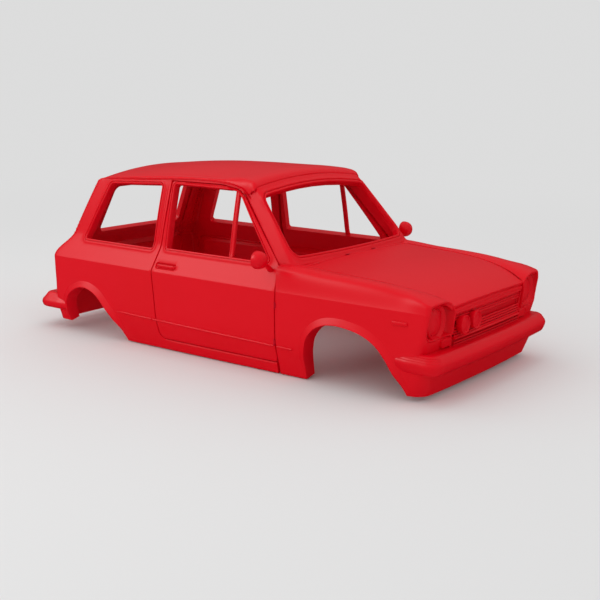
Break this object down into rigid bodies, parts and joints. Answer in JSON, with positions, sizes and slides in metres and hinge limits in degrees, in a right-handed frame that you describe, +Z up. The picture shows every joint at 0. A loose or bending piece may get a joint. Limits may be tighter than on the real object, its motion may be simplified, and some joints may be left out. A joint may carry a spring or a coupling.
{
  "type": "bare body shell of a small two-door rally hatchback",
  "caption": "Bare red hatchback body shell with hinged doors, bonnet and tailgate, open windows and wheel arches, bumpers, grille, lamps and door mirrors.",
  "frame": {"origin": "centre of the bounding box, at the underside of the sills", "axes": "+X to the front of the car, +Y to its left side, +Z up"},
  "size_m": [3.16, 1.776, 1.1648],
  "materials": {
    "red_shell": "satin red paint",
    "red_trim": "bumpers, lamps, grille and mirrors sprayed in the same satin red",
    "red_hinge": "hinge pins sprayed with the shell"
  },
  "bodies": {
    "shell": {"aux_lamp_1": "red_trim", "aux_lamp_2": "red_trim", "bonnet_hinges": "red_hinge", "door_hinges_left": "red_hinge", "door_hinges_right": "red_hinge", "front_bumper": "red_trim", "front_panel": "red_shell", "front_pillar_left": "red_shell", "front_pillar_right": "red_shell", "front_valance": "red_trim", "front_wing_left": "red_shell", "front_wing_right": "red_shell", "grille": "red_trim", "headlamp_bezel_left": "red_trim", "headlamp_bezel_right": "red_trim", "headlamp_left": "red_trim", "headlamp_right": "red_trim", "indicator_left": "red_trim", "indicator_right": "red_trim", "rear_bumper": "red_trim", "rear_panel": "red_shell", "rear_quarter_left": "red_shell", "rear_quarter_right": "red_shell", "roof_panel": "red_shell", "scuttle_panel": "red_shell", "side_repeater_left": "red_trim", "side_repeater_right": "red_trim", "sill_left": "red_shell", "sill_right": "red_shell", "tail_lamp_left": "red_trim", "tail_lamp_right": "red_trim", "tailgate_hinges": "red_hinge", "tailgate_surround": "red_shell", "windscreen_frame": "red_shell"},
    "door_right": {"door_right": "red_shell", "vent_bar_right": "red_trim", "door_handle_right": "red_trim", "mirror_right": "red_trim"},
    "door_left": {"door_left": "red_shell", "vent_bar_left": "red_trim", "door_handle_left": "red_trim", "mirror_left": "red_trim"},
    "bonnet": {"bonnet": "red_shell"},
    "tailgate": {"tailgate": "red_shell"}
  },
  "joints": [
    {"name": "door_right_hinge", "type": "hinge", "parent": "shell", "child": "door_right", "pos_m": [0.477, -0.742, 0.3], "axis": [0, 0, 1], "range_deg": [0, 65]},
    {"name": "door_left_hinge", "type": "hinge", "parent": "shell", "child": "door_left", "pos_m": [0.477, 0.742, 0.3], "axis": [0, 0, -1], "range_deg": [0, 65]},
    {"name": "bonnet_hinge", "type": "hinge", "parent": "shell", "child": "bonnet", "pos_m": [0.5945, 0, 0.665], "axis": [0, -1, 0], "range_deg": [0, 60]},
    {"name": "tailgate_hinge", "type": "hinge", "parent": "shell", "child": "tailgate", "pos_m": [-1.18283, 0, 1.0215], "axis": [0, 1, 0], "range_deg": [0, 78]}
  ]
}
